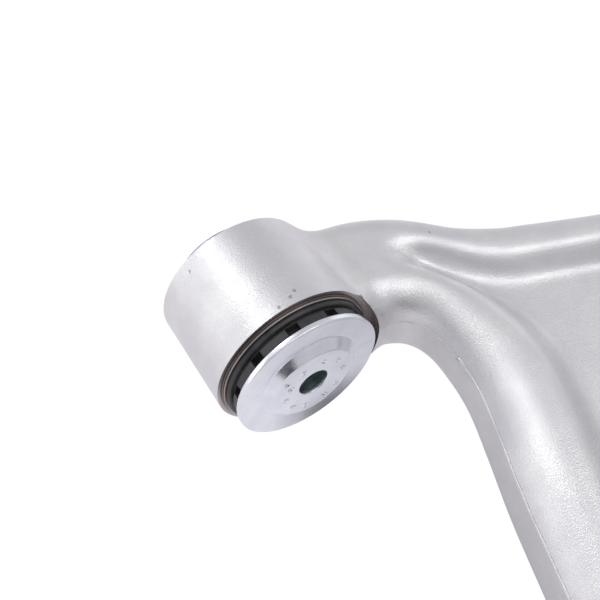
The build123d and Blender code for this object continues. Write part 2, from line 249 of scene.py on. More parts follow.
down = rim_map / (rim_map - foot_map + 1e-9)
slope = np.where(rim_map <= 0, 0.0, np.where(foot_map >= 0, 1.0, down))
height_map = RIDGE_HEIGHT - (RIDGE_HEIGHT - WEB_HEIGHT) * ease(slope)
height_map = blurred(height_map, 2.8)
ridge_depth = RIDGE_DEPTH_FRONT + (RIDGE_DEPTH_REAR - RIDGE_DEPTH_FRONT) * ease((-20 - map_y) / 90)
depth_map = blurred(ridge_depth - (ridge_depth - WEB_HEIGHT) * ease(slope), 2.2)
lean_map = blurred(lean_map, 2.0)
edge_map = blurred(edge_map, 1.0)


def read_map(field, x, y):
    """The map's value between its points, by cubics through four neighbours along each direction."""
    gx = np.clip((x - MAP_LOW[0]) / MAP_STEP, 1, field.shape[0] - 3.001)
    gy = np.clip((y - MAP_LOW[1]) / MAP_STEP, 1, field.shape[1] - 3.001)
    ix, iy = gx.astype(int), gy.astype(int)

    def weights(t):
        return (0.5 * (-t + 2 * t ** 2 - t ** 3), 0.5 * (2 - 5 * t ** 2 + 3 * t ** 3),
                0.5 * (t + 4 * t ** 2 - 3 * t ** 3), 0.5 * (t ** 3 - t ** 2))

    wx, wy = weights(gx - ix), weights(gy - iy)
    return sum(wx[a] * wy[b] * field[ix + a - 1, iy + b - 1] for a in range(4) for b in range(4))


# %% The arm's function
DRAFT = np.tan(np.radians(5.5))
INNER_DRAFT, INNER_DRAFT_GAIN = 0.13, 0.0007      # the inner wall lies back a little more all along the leg
LOWER_LEAN = 0.068                # the lower half's wall leans out under the inner edge
EDGE_ROUND, LEG_EDGE_ROUND = 13.0, 19.0
LOWER_ROUND = 5.0
BOSS_NEAR_R, BOSS_FAR_R = 37.9, 35.9
BOSS_HALF = BOSS_FAR_Y / MM
BOSS_SPARE = 6.0                  # extra length that the milling takes off again
REAR_R, REAR_HALF = 37.8, 28.0
RING_R, RING_LOW, RING_HIGH = 32.8, -26.0, 2.0
BOOT_ROOM_R = 31.0
rear_x, rear_y = REAR[0] / MM, REAR[1] / MM
ball_x, ball_y = BALL[0] / MM, BALL[1] / MM


def join(a, b, width):
    """Smooth minimum: the smaller of two functions, rounded by a parabola where they are within width."""
    mix = np.clip(0.5 + 0.5 * (b - a) / width, 0, 1)
    return b * (1 - mix) + a * mix - width * mix * (1 - mix)


def corner(a, b, radius):
    """Rounded maximum: a circular edge of the radius where the outsides of two solids meet squarely."""
    u, v = np.maximum(a + radius, 0), np.maximum(b + radius, 0)
    return np.minimum(np.maximum(a, b), -radius) + np.hypot(u, v)


def arm_function(x, y, z, edge, height, depth, lean, draft):
    """Negative in the metal. The plate is the drafted outline cut at the height map; each boss is its
    distance from its axis less its radius, cut at its ends; broad fillets join the bosses to the plate."""
    edge_round = EDGE_ROUND + (LEG_EDGE_ROUND - EDGE_ROUND) * ease((-48 - y) / 50)
    upper = corner((-edge + z * draft) / np.hypot(1, draft), z - height, edge_round)
    lower = corner(-edge + z * (LOWER_LEAN * lean - 0.05 * (1 - lean)), -z - depth, LOWER_ROUND)
    plate = np.where(z > 0, upper, lower)
    along = np.clip(y / BOSS_HALF, -1, 1)
    boss_r = (BOSS_NEAR_R + BOSS_FAR_R) / 2 - along * (BOSS_NEAR_R - BOSS_FAR_R) / 2
    front = corner(np.hypot(x, z) - boss_r, np.abs(y) - BOSS_HALF - BOSS_SPARE, 1.0)
    rear = corner(np.hypot(x - rear_x, y - rear_y) - REAR_R, np.abs(z) - REAR_HALF, 1.6)
    from_ball = np.hypot(x - ball_x, y - ball_y)
    eye = corner(from_ball - RING_R, np.maximum(z - RING_HIGH, RING_LOW - z), 1.5)
    solid = join(plate, front, 12.0)
    solid = join(solid, rear, 14.0)
    solid = join(solid, eye, 12.0)
    room = np.maximum(from_ball - BOOT_ROOM_R, RING_HIGH - z)
    return corner(solid, -room, 2.0)


inner_draft = INNER_DRAFT + INNER_DRAFT_GAIN * np.clip(-35 - map_y, 0, 140)
draft_map = blurred(DRAFT + (inner_draft - DRAFT) * ease(2 * lean_map), 2.0)
ARM_MAPS = (edge_map, height_map, depth_map, lean_map, draft_map)


def arm_at(points):
    """The arm's function at loose points, in millimetres."""
    x, y, z = points.T
    return arm_function(x, y, z, *(read_map(field, x, y) for field in ARM_MAPS))


# %% [markdown]
# ## From a function to a mesh
# The function is worked out on a regular grid of points. A cell whose corners differ in sign gets
# one vertex, and four cells round a grid edge that changes sign get one quad: this is the method
# called surface nets. Its quads are even and its mesh is closed. A few Newton steps then bring each
# vertex onto the surface itself, so the grid leaves no steps.

# %% Surface nets
CORNERS = np.array([(i, j, k) for i in (0, 1) for j in (0, 1) for k in (0, 1)])
CELL_EDGES = [(a, b) for a in range(8) for b in range(a + 1, 8) if np.abs(CORNERS[a] - CORNERS[b]).sum() == 1]


def surface_net(value, low, step):
    """Vertices and quads of the zero surface of a function given on a grid. A cell's vertex is the
    mean of the places where its edges cross zero, each found by a straight line between its ends."""
    shape = np.array(value.shape) - 1
    part = {c: value[c[0]:c[0] + shape[0], c[1]:c[1] + shape[1], c[2]:c[2] + shape[2]]
            for c in map(tuple, CORNERS)}
    total, count = np.zeros((*shape, 3)), np.zeros(shape)
    for a, b in CELL_EDGES:
        va, vb = part[tuple(CORNERS[a])], part[tuple(CORNERS[b])]
        crosses = (va < 0) != (vb < 0)
        share = np.where(crosses, va / np.where(va == vb, 1, va - vb), 0)
        total += (CORNERS[a] + share[..., None] * (CORNERS[b] - CORNERS[a])) * crosses[..., None]
        count += crosses
    active = count > 0
    number = np.full(shape, -1)
    number[active] = np.arange(active.sum())
    cells = np.argwhere(active)
    verts = low + step * (cells + total[active] / count[active][:, None])
    quads = []
    for axis in range(3):
        u, v = (axis + 1) % 3, (axis + 2) % 3
        first = np.take(value, np.arange(value.shape[axis] - 1), axis)
        second = np.take(value, np.arange(1, value.shape[axis]), axis)
        for outward in (True, False):
            change = (first < 0) & (second >= 0) if outward else (first >= 0) & (second < 0)
            spot = np.argwhere(change)
            spot = spot[(spot[:, u] > 0) & (spot[:, v] > 0) & (spot[:, u] < shape[u]) & (spot[:, v] < shape[v])]
            ring = []
            for du, dv in ((-1, -1), (0, -1), (0, 0), (-1, 0)):
                cell = spot.copy()
                cell[:, u] += du
                cell[:, v] += dv
                ring.append(number[tuple(cell.T)])
            ring = np.stack(ring, 1)
            quads.append(ring if outward else ring[:, ::-1])
    return verts, np.concatenate(quads)


def settle(verts, quads, function, step, rounds):
    """Each round moves a vertex half way to the mean of its neighbours, then twice back along the
    function's gradient by value over steepness, which is Newton's step onto the surface."""
    pairs = np.concatenate([quads[:, [i, (i + 1) % 4]] for i in range(4)])
    degree = np.bincount(pairs[:, 0], minlength=len(verts))[:, None]
    for _ in range(rounds):
        mean = np.stack([np.bincount(pairs[:, 0], verts[pairs[:, 1], k], len(verts)) for k in range(3)], 1) / degree
        verts = verts + 0.5 * (mean - verts)
        for _ in range(2):
            nudge = 0.04 * np.eye(3)
            slope = np.stack([function(verts + n) - function(verts - n) for n in nudge], 1) / 0.08
            move = function(verts)[:, None] * slope / np.maximum((slope ** 2).sum(1), 0.05)[:, None]
            verts = verts - np.clip(move, -0.6 * step, 0.6 * step)
    return verts


NET_STEP = 1.65
net_low = np.array([-47.0, -304.0, -41.0])
net_size = np.ceil((np.array([377.0, 39.0, 41.0]) - net_low) / NET_STEP).astype(int)
gx, gy = np.meshgrid(*(net_low[i] + NET_STEP * np.arange(net_size[i]) for i in (0, 1)), indexing="ij")
gz = net_low[2] + NET_STEP * np.arange(net_size[2])
grid_maps = [read_map(field, gx, gy)[..., None] for field in ARM_MAPS]
grid_value = arm_function(gx[..., None], gy[..., None], gz, *grid_maps)
arm_verts, arm_quads = surface_net(grid_value, net_low, NET_STEP)
arm_verts = settle(arm_verts, arm_quads, arm_at, NET_STEP, 3)
print("arm:", len(arm_verts), "vertices,", len(arm_quads), "quads, worst miss",
      round(float(np.abs(arm_at(arm_verts)).max()), 4), "mm")


# %% Mesh helpers
def new_object(name, verts, faces, smooth=True):
    """A mesh object at the origin, from vertices in metres."""
    mesh = bpy.data.meshes.new(name)
    mesh.from_pydata(np.asarray(verts).tolist(), [], [tuple(f) for f in np.asarray(faces).tolist()])
    mesh.update()
    mesh.polygons.foreach_set("use_smooth", np.full(len(mesh.polygons), smooth))
    piece = bpy.data.objects.new(name, mesh)
    bpy.context.scene.collection.objects.link(piece)
    return piece


arm = new_object("forged_arm", arm_verts * MM, arm_quads)

# %% Milling cuts


def bar(name, radius, low, high, axis, centre, sides=160):
    """A closed round bar: two rings of points at its ends, with fans of sides closed by end faces."""
    angle = np.linspace(0, 2 * np.pi, sides, endpoint=False)
    circle = radius * np.stack([np.cos(angle), np.sin(angle)], 1)
    rings = [np.insert(circle, 2, level, axis=1) for level in (low, high)]
    verts = np.concatenate(rings)
    if axis == "y":
        verts = verts[:, [0, 2, 1]] * [1, 1, -1]
    if axis == "x":
        verts = verts[:, [2, 0, 1]]
    index = np.arange(sides)
    after = (index + 1) % sides
    faces = [tuple(f) for f in np.stack([index, after, after + sides, index + sides], 1).tolist()]
    faces += [tuple(index[::-1].tolist()), tuple((index + sides).tolist())]
    mesh = bpy.data.meshes.new(name)
    mesh.from_pydata((verts + centre).tolist(), [], faces)
    cutter = bpy.data.objects.new(name, mesh)
    bpy.context.scene.collection.objects.link(cutter)
    return cutter


def cut_away(piece, cutters):
    """Takes the cutters out of a piece for good, and removes them."""
    for cutter in cutters:
        modifier = piece.modifiers.new("cut", "BOOLEAN")
        modifier.operation = "DIFFERENCE"
        modifier.solver = "EXACT"
        modifier.object = cutter
    finished = bpy.data.meshes.new_from_object(piece.evaluated_get(bpy.context.evaluated_depsgraph_get()))
    piece.modifiers.clear()
    piece.data = finished
    for cutter in cutters:
        bpy.data.objects.remove(cutter)


origin = np.zeros(3)
FRONT_BORE = 0.033
SPOT_FACE = 0.039
cutters = [
    bar("mill_near", SPOT_FACE, BOSS_NEAR_Y - 0.020, BOSS_NEAR_Y, "y", origin),
    bar("mill_far", SPOT_FACE, BOSS_FAR_Y, BOSS_FAR_Y + 0.020, "y", origin),
    bar("bore_front", FRONT_BORE, -0.05, 0.05, "y", origin),
    bar("bore_rear", 0.0315, -0.04, 0.04, "z", REAR),
    bar("bore_ball", 0.022, -0.04, 0.04, "z", BALL),
]
cut_away(arm, cutters)
arm.data.polygons.foreach_set("use_smooth", np.ones(len(arm.data.polygons), bool))
arm.data.set_sharp_from_angle(angle=np.radians(32))
centre_of = np.empty(len(arm.data.polygons) * 3)
arm.data.polygons.foreach_get("center", centre_of)
cx, cy, cz = centre_of.reshape(-1, 3).T
from_bush, from_rear = np.hypot(cx, cz), np.hypot(cx - REAR[0], cy - REAR[1])
from_ball = np.hypot(cx - BALL[0], cy - BALL[1])
near, slack = lambda a, b: np.abs(a - b) < 0.00012, 0.0001
milled = near(cy, BOSS_NEAR_Y) & (from_bush < SPOT_FACE + slack)
milled |= near(cy, BOSS_FAR_Y) & (from_bush < SPOT_FACE + slack)
milled |= near(from_bush, SPOT_FACE) & (np.abs(cy + 0.035) < 0.0101)
milled |= near(from_bush, FRONT_BORE) & (np.abs(cy) < BOSS_FAR_Y)
milled |= near(from_rear, 0.0315) & (np.abs(cz) < 0.0279) | near(from_ball, 0.022) & (cz < RING_HIGH * MM)
arm.data.attributes.new("milled", "FLOAT", "FACE").data.foreach_set("value", milled.astype(np.float32))
print("milled faces:", int(milled.sum()))
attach(arm, "arm")
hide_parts("arm_forging")
print("arm after milling:", len(arm.data.polygons), "faces")

# %% [markdown]
# ## The parting line
# Metal squeezes out between the two halves of the die and is trimmed off, which leaves a fine raised
# line round the forging. It is a small loop of points carried along the edge of the plate where the
# arm's function is zero at z = 0. On the inner edge the trimming tool slipped once and left a nick.

# %% Parting line


def swept(name, path, outward, profile, size=None):
    """A closed tube: at each place of the path the profile's points are path + out * outward + up * z.
    Size scales the profile along the path. The two ends are closed by faces."""
    profile = np.asarray(profile, float)
    size = np.ones(len(path)) if size is None else size
    verts = path[:, None, :] + size[:, None, None] * profile[None, :, :1] * outward[:, None, :]
    verts = verts + size[:, None, None] * profile[None, :, 1:] * np.array([0, 0, 1.0])
    rows, columns = len(path), len(profile)
    i, j = np.meshgrid(np.arange(rows - 1), np.arange(columns), indexing="ij")
    after = (j + 1) % columns
    faces = np.stack([i * columns + j, i * columns + after, (i + 1) * columns + after, (i + 1) * columns + j], -1)
    faces = [tuple(f) for f in faces.reshape(-1, 4).tolist()]
    faces += [tuple(range(columns))[::-1], tuple(range((rows - 1) * columns, rows * columns))]
    return mesh_object(name, verts.reshape(-1, 3) * MM, faces)


def mesh_object(name, verts, faces):
    """A smooth-shaded mesh object at the origin, with all its faces turned outwards."""
    mesh = bpy.data.meshes.new(name)
    mesh.from_pydata(np.asarray(verts).tolist(), [], faces)
    work = bmesh.new()
    work.from_mesh(mesh)
    bmesh.ops.remove_doubles(work, verts=work.verts, dist=1e-7)
    bmesh.ops.recalc_face_normals(work, faces=work.faces)
    work.to_mesh(mesh)
    work.free()
    mesh.polygons.foreach_set("use_smooth", np.ones(len(mesh.polygons), bool))
    piece = bpy.data.objects.new(name, mesh)
    bpy.context.scene.collection.objects.link(piece)
    return piece


FLASH_PROFILE = [(-0.8, -0.9), (0.02, -0.4), (0.28, -0.16), (0.30, 0.1), (0.05, 0.36), (-0.8, 0.9)]
NICK = np.array([57.8, -67.0])


def on_the_edge(path):
    """Places near the path where the arm's function is zero at z = 0, and the outward direction there."""
    level = np.zeros(len(path))
    for _ in range(12):
        points = np.column_stack([path, level])
        slope = np.stack([arm_at(points + n) - arm_at(points - n) for n in 0.05 * np.eye(3)[:2]], 1) / 0.1
        move = arm_at(points)[:, None] * slope / np.maximum((slope ** 2).sum(1)[:, None], 0.1)
        path = path - np.clip(move, -1, 1)
    out = slope / np.hypot(*slope.T)[:, None]
    return np.column_stack([path, level]), np.column_stack([out, level])


flashes = []
for name, edge in (("inner", INNER_EDGE), ("rear", REAR_EDGE), ("front", FRONT_EDGE)):
    path = smooth_curve(edge, 22, False)
    clear = np.hypot(path[:, 0] - rear_x, path[:, 1] - rear_y) > REAR_R + 2
    clear &= np.hypot(path[:, 0] - ball_x, path[:, 1] - ball_y) > RING_R + 2
    clear &= (path[:, 0] > 39.6) | (path[:, 1] < -100)
    path, out = on_the_edge(path[clear])
    from_nick = np.hypot(*(path[:, :2] - NICK).T) if name == "inner" else np.full(len(path), 99.0)
    wander = 1 + 0.25 * np.sin(path[:, 0] * 0.31 + path[:, 1] * 0.23) + 2.2 * np.exp(-(from_nick / 2.8) ** 4)
    faint = 1 - 0.5 * ease((-75 - path[:, 1]) / 20)
    flash = swept("parting_line_" + name, path, out, FLASH_PROFILE, wander * faint)
    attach(flash, "arm")
    flashes.append(flash)
    print("parting line", name, len(path), "places")

# %% [markdown]
# ## Turned pieces
# Sleeves, washers, the stop rings, the stud and the boot are bodies of revolution. Each is a closed
# outline of radius and height that is carried round its axis. Real turned and moulded edges are never
# knife sharp, so each corner gets a small arc, with a point just beyond it that keeps the flat flat.

# %% Turned pieces


def rounded(points):
    """A closed outline with its corners rounded. Each point is (radius, height, rounding). The arc
    leaves both sides at the distance rounding * tan(turn / 2) and is cut into five places."""
    p = np.array([(a[0], a[1]) for a in points], float)
    fillets = [a[2] if len(a) > 2 else 0.0 for a in points]
    out = []
    for i, fillet in enumerate(fillets):
        here, before, after = p[i], p[i - 1] - p[i], p[(i + 1) % len(p)] - p[i]
        lb, la = np.hypot(*before), np.hypot(*after)
        if fillet <= 0:
            out.append(here)
            continue
        before, after = before / lb, after / la
        half = 0.5 * np.arccos(np.clip(before @ after, -1, 1))
        reach = min(fillet / np.tan(half), 0.49 * lb, 0.49 * la)
        middle = (before + after) / np.hypot(*(before + after)) * reach / np.cos(half)
        radius = reach * np.tan(half)
        first, last = before * reach - middle, after * reach - middle
        out.append(here + before * min(reach * 1.25 + 0.02, 0.495 * lb))
        for t in np.linspace(0, 1, 5):
            way = first * (1 - t) + last * t
            out.append(here + middle + way / np.hypot(*way) * radius)
        out.append(here + after * min(reach * 1.25 + 0.02, 0.495 * la))
    return np.array(out)


def turned(name, points, axis="y", centre=(0, 0, 0), sides=180, ripple=None):
    """A closed outline carried round an axis: x = r cos a, the other across direction is r sin a,
    and the height runs along the axis. Ripple may add to the radius as a function of r, height, angle."""
    outline_2d = rounded(points)
    angle = np.linspace(0, 2 * np.pi, sides, endpoint=False)
    r = np.repeat(outline_2d[:, :1], sides, 1)
    h = np.repeat(outline_2d[:, 1:], sides, 1)
    a = np.repeat(angle[None, :], len(outline_2d), 0)
    if ripple is not None:
        r = r + ripple(r, h, a)
    flat = (r * np.cos(a), h, r * np.sin(a)) if axis == "y" else (r * np.cos(a), r * np.sin(a), h)
    verts = np.stack(flat, -1).reshape(-1, 3) * MM + np.asarray(centre)
    i, j = np.meshgrid(np.arange(len(outline_2d)), np.arange(sides), indexing="ij")
    ni, nj = (i + 1) % len(outline_2d), (j + 1) % sides
    faces = np.stack([i * sides + j, i * sides + nj, ni * sides + nj, ni * sides + j], -1).reshape(-1, 4)
    return mesh_object(name, verts, [tuple(f) for f in faces.tolist()])


def stands_for(piece, body, node):
    """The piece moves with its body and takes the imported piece's place and finish."""
    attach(piece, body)
    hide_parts(node)
    made[node] = piece


made = {}
BOLT_R = 7.1
CORE_R = radius_of("front_bush_inner_sleeve", "x") / MM
COLLAR_R = radius_of("front_bush_outer_sleeve", "x") / MM
FACE = BOSS_NEAR_Y / MM
COLLAR = COLLAR_FACE_Y / MM

sleeve = turned("front_outer_sleeve", [
    (31, COLLAR, 0.2), (COLLAR_R - 0.5, COLLAR, 0.3), (COLLAR_R - 0.5, FACE - 1.05, 0.1), (COLLAR_R - 0.9, FACE - 0.9, 0.1),
    (COLLAR_R, FACE - 0.7, 0.15), (COLLAR_R, FACE - 0.02, 0.2), (33, FACE - 0.02), (33, -FACE, 0.1), (31, -FACE, 0.3)])
stands_for(sleeve, "arm", "front_bush_outer_sleeve")
rubber = turned("front_rubber", [
    (CORE_R, -24, 0.3), (CORE_R + 3, -21, 2), (22.5, -16, 4), (28, -21, 2), (31, -24, 0.3),
    (31, 24, 0.3), (28, 21, 2), (22.5, 16, 4), (CORE_R + 3, 21, 2), (CORE_R, 24, 0.3)])
stands_for(rubber, "arm", "front_bush_rubber")
sleeve_near, sleeve_far = (c.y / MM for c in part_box("front_bush_inner_sleeve"))
core = turned("front_inner_sleeve", [
    (BOLT_R, sleeve_near, 0.3), (CORE_R, sleeve_near, 0.3), (CORE_R, sleeve_far, 0.4), (BOLT_R, sleeve_far, 0.6)])
stands_for(core, "front_bush_core", "front_bush_inner_sleeve")
far_low, far_high = (c.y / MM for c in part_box("front_bush_far_stop_ring"))
far_r = radius_of("front_bush_far_stop_ring", "x") / MM
far_ring = turned("front_far_stop_ring", [
    (CORE_R, far_low, 0.3), (far_r, far_low, 1.0), (far_r - 1.2, (far_low + far_high) / 2, 2.0), (far_r, far_high, 0.5), (CORE_R, far_high, 0.2)])
stands_for(far_ring, "front_bush_core", "front_bush_far_stop_ring")
washer_low, washer_high = (c.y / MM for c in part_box("front_bush_far_washer"))
washer_r = radius_of("front_bush_far_washer", "x") / MM
washer = turned("front_far_washer", [
    (CORE_R, washer_low, 0.2), (washer_r, washer_low, 0.7), (washer_r, washer_high, 0.7), (CORE_R, washer_high, 0.2)])
stands_for(washer, "front_bush_core", "front_bush_far_washer")
print("front bush: sleeve, rubber, inner sleeve, far ring, far washer")

# %% [markdown]
# ## Near stop ring
# A moulded rubber ring takes the push between the flange and the boss. It has a smooth bead next to
# the collar, a groove, and a row of pads. The pads are one turned ring with notches cut across it.

# %% Near stop ring
STOP_NOTCHES = 11
stop_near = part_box("front_bush_near_stop_ring")[0].y / MM
stop_r = radius_of("front_bush_near_stop_ring", "x") / MM
stop_ring = turned("front_near_stop_ring", [
    (25, COLLAR, 0.2), (stop_r - 0.4, COLLAR, 0.3), (stop_r, COLLAR - 1.2, 0.6), (stop_r - 0.5, COLLAR - 2.4, 0.7),
    (stop_r - 2.5, COLLAR - 2.7, 0.3), (stop_r - 2.5, COLLAR - 3.3, 0.3), (stop_r - 1.6, COLLAR - 3.6, 0.4),
    (stop_r - 1.6, stop_near, 0.4), (25, stop_near, 0.3)], sides=220)


def block(name, low, high, turn_angle):
    """A box between two corners, turned round the Y axis."""
    low, high = np.array(low), np.array(high)
    pick = np.array([(0, 0, 0), (1, 0, 0), (1, 1, 0), (0, 1, 0), (0, 0, 1), (1, 0, 1), (1, 1, 1), (0, 1, 1)])
    p = low + pick * (high - low)
    c, w = np.cos(turn_angle), np.sin(turn_angle)
    p = np.stack([p[:, 0] * c - p[:, 2] * w, p[:, 1], p[:, 0] * w + p[:, 2] * c], 1)
    faces = [(0, 3, 2, 1), (4, 5, 6, 7), (0, 1, 5, 4), (1, 2, 6, 5), (2, 3, 7, 6), (3, 0, 4, 7)]
    return mesh_object(name, p * MM, faces)


notch_half = (stop_r - 1.6) * np.sin(np.radians(5.0))
notches = [
    block("notch", (29.3, stop_near - 1, -notch_half), (38.0, COLLAR - 3.5, notch_half),
          -k * 2 * np.pi / STOP_NOTCHES)
    for k in range(STOP_NOTCHES)]
cut_away(stop_ring, notches)
stop_ring.data.polygons.foreach_set("use_smooth", np.ones(len(stop_ring.data.polygons), bool))
stop_ring.data.set_sharp_from_angle(angle=np.radians(35))
stands_for(stop_ring, "arm", "front_bush_near_stop_ring")
print("stop ring:", STOP_NOTCHES, "notches,", len(stop_ring.data.polygons), "faces")

# %% [markdown]
# ## Flange
# The flange is pressed from thick sheet, so its hub rises in a soft shoulder, and its front and back
# follow each other. Staking marks bite into the hub's top so that it can't slip on the bracket. The
# front is one grid of radius and angle whose height is a function of both; back and rim close it.

# %% Flange
flange_low, flange_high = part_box("front_bush_near_flange")
HUB_FACE = flange_low.y / MM
FLANGE_BACK = flange_high.y / MM
FLANGE_R = radius_of("front_bush_near_flange", "x") / MM
FLANGE_FACE = FLANGE_BACK - 2.9
HUB_BASE_R, HUB_TOP_R = 23.5, 18.0
BITES = [(4.5, 11.9), (11.9, 6.9), (14.6, -1.2), (-4.6, 11.2), (11.9, -9.5), (-13.4, 9.9), (-11.8, 4.9),
         (5.1, -14.0), (-14.3, -2.4), (-10.9, -10.6), (-3.9, -14.6)]


def front_height(r, a):
    """Height of the front over its flat: the hub's soft shoulder, a fine lip at the foot of the hub,
    and the bites. A bite is a ridge half round a dent: each is a bell across its own distance."""
    x, z = r * np.cos(a), r * np.sin(a)
    wave = 0.35 * np.sin(3 * a + 0.6) + 0.2 * np.sin(5 * a + 2.0)
    t = np.clip((HUB_BASE_R - r) / (HUB_BASE_R - HUB_TOP_R - wave), 0, 1)
    height = (FLANGE_FACE - HUB_FACE - 0.5) * np.minimum(1.32 * t, ease(0.5 + 0.5 * (1.32 * t)) * 2 - 1)
    height = height - 0.14 * np.exp(-((r - HUB_BASE_R - 0.3) / 0.3) ** 2) - 0.10 * np.exp(-((r - FLANGE_R + 0.62) / 0.2) ** 2)
    for number, (bx, bz) in enumerate(BITES):
        dx, dz = x - bx, z - bz
        d = np.hypot(dx, dz)
        side = np.clip(0.5 + 0.9 * np.cos(np.arctan2(dz, dx) - 0.9 * number), 0, 1)
        height = height + 0.55 * side * np.exp(-((d - 1.2) / 0.42) ** 2) - 0.6 * np.exp(-(d / 0.65) ** 2)
    return height


front_r = np.concatenate([
    [BOLT_R, BOLT_R + 0.08, BOLT_R + 0.3, BOLT_R + 0.6], np.arange(BOLT_R + 0.9, 19.2, 0.24), np.arange(19.4, 25.0, 0.35),
    np.linspace(25.4, FLANGE_R - 1.3, 8), FLANGE_R - np.array([1.05, 0.9, 0.8, 0.7, 0.62, 0.54]), [FLANGE_R - 0.44, FLANGE_R - 0.2, FLANGE_R - 0.05, FLANGE_R]])
front_drop = np.interp(front_r, [BOLT_R, BOLT_R + 0.08, BOLT_R + 0.3, BOLT_R + 0.6, FLANGE_R - 0.6, FLANGE_R - 0.44,
                                 FLANGE_R - 0.2, FLANGE_R - 0.05, FLANGE_R], [0.45, 0.25, 0.06, 0, 0, 0.01, 0.07, 0.2, 0.4])
FLANGE_SIDES = 540
around = np.linspace(0, 2 * np.pi, FLANGE_SIDES, endpoint=False)
grid_r, grid_a = np.meshgrid(front_r, around, indexing="ij")
front_y = FLANGE_FACE - front_height(grid_r, grid_a) + front_drop[:, None]
back_r = np.array([FLANGE_R, FLANGE_R - 0.1, FLANGE_R - 0.4, FLANGE_R - 0.9, 23.0, 21.5, 17.5, 16.5, CORE_R + 1, BOLT_R])
back_y = np.array([-0.7, -0.3, -0.06, 0, 0, -0.4, -3.2, -3.6, -3.6, -3.6]) + FLANGE_BACK
all_r = np.concatenate([grid_r, np.repeat(back_r[:, None], FLANGE_SIDES, 1)])
all_y = np.concatenate([front_y, np.repeat(back_y[:, None], FLANGE_SIDES, 1)])
all_a = np.repeat(around[None, :], len(all_r), 0)
flange_verts = np.stack([all_r * np.cos(all_a), all_y, all_r * np.sin(all_a)], -1).reshape(-1, 3) * MM
i, j = np.meshgrid(np.arange(len(all_r)), np.arange(FLANGE_SIDES), indexing="ij")
ni, nj = (i + 1) % len(all_r), (j + 1) % FLANGE_SIDES
flange_faces = np.stack([i, i, ni, ni], -1) * FLANGE_SIDES + np.stack([j, nj, nj, j], -1)
flange = mesh_object("front_flange", flange_verts, [tuple(f) for f in flange_faces.reshape(-1, 4).tolist()])
flange.data.set_sharp_from_angle(angle=np.radians(50))
stands_for(flange, "front_bush_core", "front_bush_near_flange")
print("flange:", len(flange.data.polygons), "faces,", len(BITES), "bites")

# %% [markdown]
# ## Rear bush
# The rear bush stands upright. Its rubber has a curved void on two sides of the core, so that it
# gives along the car and stays stiff across it. The voids are bent boxes: a grid of angle and radius
# at two heights.

# %% Rear bush
REAR_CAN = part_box("rear_bush_outer_can")[1].z / MM
REAR_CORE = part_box("rear_bush_core")[1].z / MM
REAR_CORE_R = radius_of("rear_bush_core", "x") / MM
REAR_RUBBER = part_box("rear_bush_rubber")[1].z / MM
can = turned("rear_can", [
    (29.5, -REAR_CAN, 0.5), (31.5, -REAR_CAN, 0.9), (31.5, REAR_CAN, 0.9), (29.5, REAR_CAN, 0.5)], "z", REAR)
stands_for(can, "arm", "rear_bush_outer_can")
rear_core = turned("rear_core", [
    (BOLT_R, -REAR_CORE, 0.5), (REAR_CORE_R, -REAR_CORE, 0.9), (REAR_CORE_R, REAR_CORE, 0.9), (BOLT_R, REAR_CORE, 0.5)],
    "z", REAR)
stands_for(rear_core, "rear_bush_core", "rear_bush_core")
rear_rubber = turned("rear_rubber", [
    (REAR_CORE_R, -REAR_RUBBER, 0.4), (REAR_CORE_R + 2, -REAR_RUBBER + 1.5, 1.5), (27, -REAR_RUBBER + 1.5, 1.5), (29.5, -REAR_RUBBER, 0.4),
    (29.5, REAR_RUBBER, 0.4), (27, REAR_RUBBER - 1.5, 1.5), (REAR_CORE_R + 2, REAR_RUBBER - 1.5, 1.5), (REAR_CORE_R, REAR_RUBBER, 0.4)],
    "z", REAR)


def void(name, inner, outer, half_angle, middle, reach):
    """A curved void: round-ended in plan, by narrowing the radii towards its two ends."""
    a = np.linspace(-1, 1, 41)
    room = 0.5 * (outer - inner) * np.sqrt(np.clip(1 - np.abs(a) ** 6, 0.02, 1))
    centre_r, angle = 0.5 * (inner + outer), middle + half_angle * a
    loop_r = np.concatenate([centre_r + room, (centre_r - room)[::-1]])
    loop_a = np.concatenate([angle, angle[::-1]])
    ring = np.column_stack([loop_r * np.cos(loop_a), loop_r * np.sin(loop_a)])
    verts = np.concatenate([np.insert(ring, 2, level, axis=1) for level in (-reach, reach)]) * MM + REAR
    count = len(ring)
    faces = [(i, (i + 1) % count, (i + 1) % count + count, i + count) for i in range(count)]
    faces += [tuple(range(count))[::-1], tuple(range(count, 2 * count))]
    return mesh_object(name, verts, faces)


cut_away(rear_rubber, [void("void", 17.2, 24.8, np.radians(27.5), middle, 40.0) for middle in (0.0, np.pi)])
rear_rubber.data.polygons.foreach_set("use_smooth", np.ones(len(rear_rubber.data.polygons), bool))
rear_rubber.data.set_sharp_from_angle(angle=np.radians(40))
stands_for(rear_rubber, "arm", "rear_bush_rubber")
print("rear bush: can, core and rubber with two voids")

# %% [markdown]
# ## Ball joint
# The housing is turned from bar and pressed in from below until its flange meets the forging. The
# stud's thread is the turned outline with its radius made to rise and fall once in each pitch and
# each turn, which gives a true helix. Heights here are counted from the middle of the ball.

